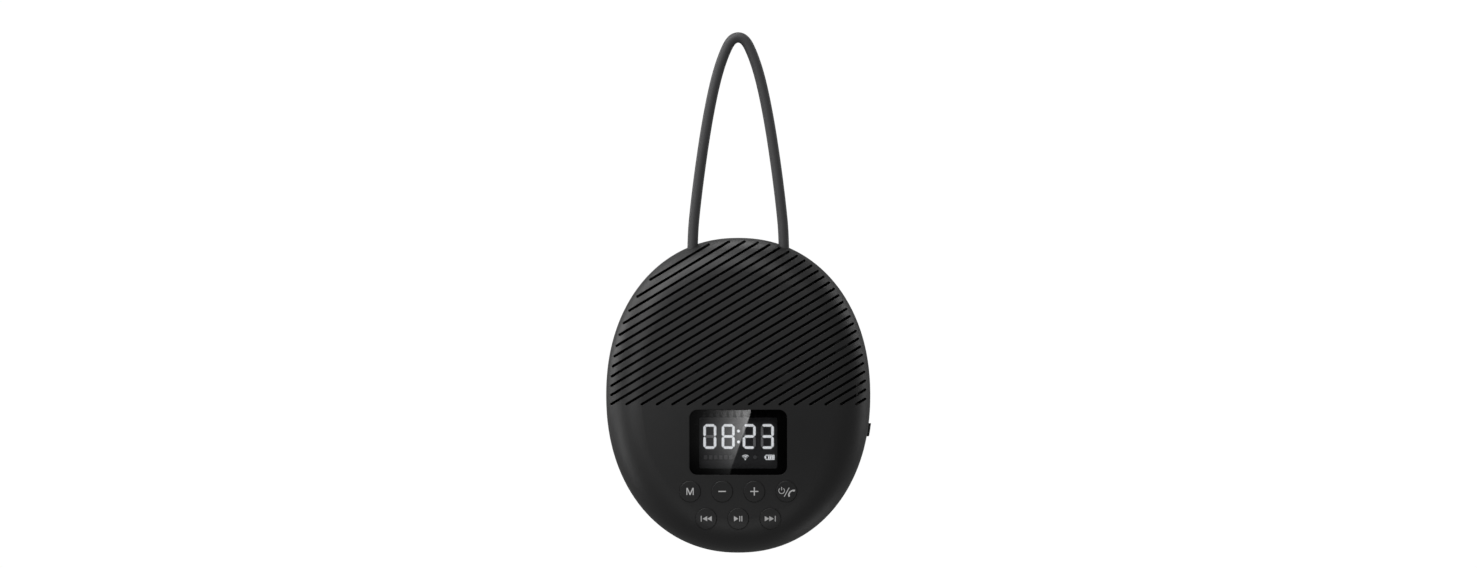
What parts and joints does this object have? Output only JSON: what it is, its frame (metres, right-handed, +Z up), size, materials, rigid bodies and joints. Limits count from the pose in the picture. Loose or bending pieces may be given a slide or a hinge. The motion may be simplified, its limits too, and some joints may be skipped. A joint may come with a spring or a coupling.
{
  "type": "shower speaker",
  "caption": "Pebble-shaped shower speaker with slotted grille, clock display, push buttons, hanging cord loop, port cover and a twist-on suction cup.",
  "frame": {"origin": "middle of the suction cup's sealing face, on the wall, level with the middle of the housing", "axes": "+X to the user's right, +Y into the wall (the front faces -Y), +Z up towards the hanging loop"},
  "size_m": [0.1107, 0.054, 0.2175],
  "materials": {
    "shell_plastic": "fine matte texture",
    "button_plastic": "fine matte texture",
    "seal_rubber": "smooth",
    "plug_rubber": "smooth",
    "screw_steel": "zinc plated",
    "grille_cloth": "fine black acoustic cloth",
    "smoky_lens": "polished smoky acrylic",
    "mask_black": "black adhesive",
    "display_face": "dark grey epoxy face",
    "segment_glow": "lit white diffuser",
    "segment_grey": "unlit diffuser",
    "silicone_grey": "silicone",
    "board_green": "solder mask",
    "switch_steel": "stamped cover",
    "shield_can": "tin plated",
    "chip_black": "moulded epoxy",
    "capacitor_can": "drawn can",
    "connector_white": "nylon",
    "plated_steel": "nickel plated",
    "ferrite": "sintered ferrite",
    "basket_steel": "black painted pressed steel",
    "spider_cloth": "resin-coated cotton",
    "copper_wire": "enamelled copper",
    "cone_paper": "pressed pulp with a water-resistant coating",
    "surround_rubber": "matte",
    "foam_black": "closed-cell foam",
    "terminal_strip": "phenolic strip",
    "cell_wrap": "shrink sleeve",
    "insulator_paper": "fish paper",
    "wire_red": "insulated wire",
    "wire_black": "insulated wire",
    "cover_rubber": "matte",
    "cord_silicone": "smooth matte silicone",
    "ferrule_black": "blackened, crimped",
    "symbol_print": "pad-printed symbols",
    "cup_pvc": "soft glossy PVC",
    "hub_plastic": "moulded"
  },
  "bodies": {
    "housing": {"front_shell": "shell_plastic", "rear_shell": "shell_plastic", "shell_seal": "seal_rubber", "shell_screws": "screw_steel", "screw_plugs": "plug_rubber", "grille_mesh": "grille_cloth", "display_lens": "smoky_lens", "lens_adhesive_frame": "mask_black", "display_module": "display_face", "display_segments_lit": "segment_glow", "display_segments_unlit": "segment_grey", "keypad_membrane": "silicone_grey", "main_board": "board_green", "tact_switches": "switch_steel", "wireless_module": "shield_can", "control_chips": "chip_black", "capacitors": "capacitor_can", "microphone": "shield_can", "battery_socket": "connector_white", "board_screws": "screw_steel", "speaker_back_plate": "plated_steel", "speaker_magnet": "ferrite", "speaker_top_plate": "plated_steel", "speaker_basket": "basket_steel", "speaker_spider": "spider_cloth", "speaker_surround": "surround_rubber", "speaker_collar": "foam_black", "speaker_terminal": "terminal_strip", "speaker_screws": "screw_steel", "battery_cell": "cell_wrap", "battery_end_insulators": "insulator_paper", "battery_cradles": "foam_black", "battery_protection_board": "board_green", "battery_wires": "wire_red", "speaker_wires": "wire_black", "port_board": "board_green", "usb_port": "shield_can", "card_slot": "shield_can", "port_cover_anchor": "cover_rubber", "lanyard_cord": "cord_silicone", "lanyard_ferrules": "ferrule_black", "suction_cup_socket": "hub_plastic", "socket_screws": "screw_steel"},
    "button_mode": {"button_mode": "button_plastic"},
    "button_volume_down": {"button_volume_down": "button_plastic"},
    "button_volume_up": {"button_volume_up": "button_plastic"},
    "button_power_call": {"button_power_call": "button_plastic"},
    "button_previous": {"button_previous": "button_plastic"},
    "button_play_pause": {"button_play_pause": "button_plastic"},
    "button_next": {"button_next": "button_plastic"},
    "port_cover": {"port_cover": "cover_rubber"},
    "suction_cup": {"suction_cup": "cup_pvc", "suction_cup_hub": "hub_plastic"},
    "driver_cone": {"speaker_cone": "cone_paper", "dust_cap": "cone_paper", "voice_coil": "copper_wire"}
  },
  "joints": [
    {"name": "button_mode_press", "type": "slide", "parent": "housing", "child": "button_mode", "axis": [0, 1, 0], "range_m": [0, 0.0005], "stiffness_N_per_m": 1500, "deforming": ["keypad_membrane"]},
    {"name": "button_volume_down_press", "type": "slide", "parent": "housing", "child": "button_volume_down", "axis": [0, 1, 0], "range_m": [0, 0.0005], "stiffness_N_per_m": 1500, "deforming": ["keypad_membrane"]},
    {"name": "button_volume_up_press", "type": "slide", "parent": "housing", "child": "button_volume_up", "axis": [0, 1, 0], "range_m": [0, 0.0005], "stiffness_N_per_m": 1500, "deforming": ["keypad_membrane"]},
    {"name": "button_power_call_press", "type": "slide", "parent": "housing", "child": "button_power_call", "axis": [0, 1, 0], "range_m": [0, 0.0005], "stiffness_N_per_m": 1500, "deforming": ["keypad_membrane"]},
    {"name": "button_previous_press", "type": "slide", "parent": "housing", "child": "button_previous", "axis": [0, 1, 0], "range_m": [0, 0.0005], "stiffness_N_per_m": 1500, "deforming": ["keypad_membrane"]},
    {"name": "button_play_pause_press", "type": "slide", "parent": "housing", "child": "button_play_pause", "axis": [0, 1, 0], "range_m": [0, 0.0005], "stiffness_N_per_m": 1500, "deforming": ["keypad_membrane"]},
    {"name": "button_next_press", "type": "slide", "parent": "housing", "child": "button_next", "axis": [0, 1, 0], "range_m": [0, 0.0005], "stiffness_N_per_m": 1500, "deforming": ["keypad_membrane"]},
    {"name": "port_cover_hinge", "type": "hinge", "parent": "housing", "child": "port_cover", "pos_m": [0.05393, -0.0264, 0.0105], "axis": [0, -1, 0], "range_deg": [0, 95]},
    {"name": "suction_cup_twist", "type": "hinge", "parent": "housing", "child": "suction_cup", "pos_m": [0, -0.0072, 0], "axis": [0, 1, 0], "range_deg": [0, 45]},
    {"name": "cone_excursion", "type": "slide", "parent": "housing", "child": "driver_cone", "axis": [0, -1, 0], "range_m": [-0.0015, 0.0015], "stiffness_N_per_m": 1500, "deforming": ["speaker_spider", "speaker_surround"]}
  ]
}
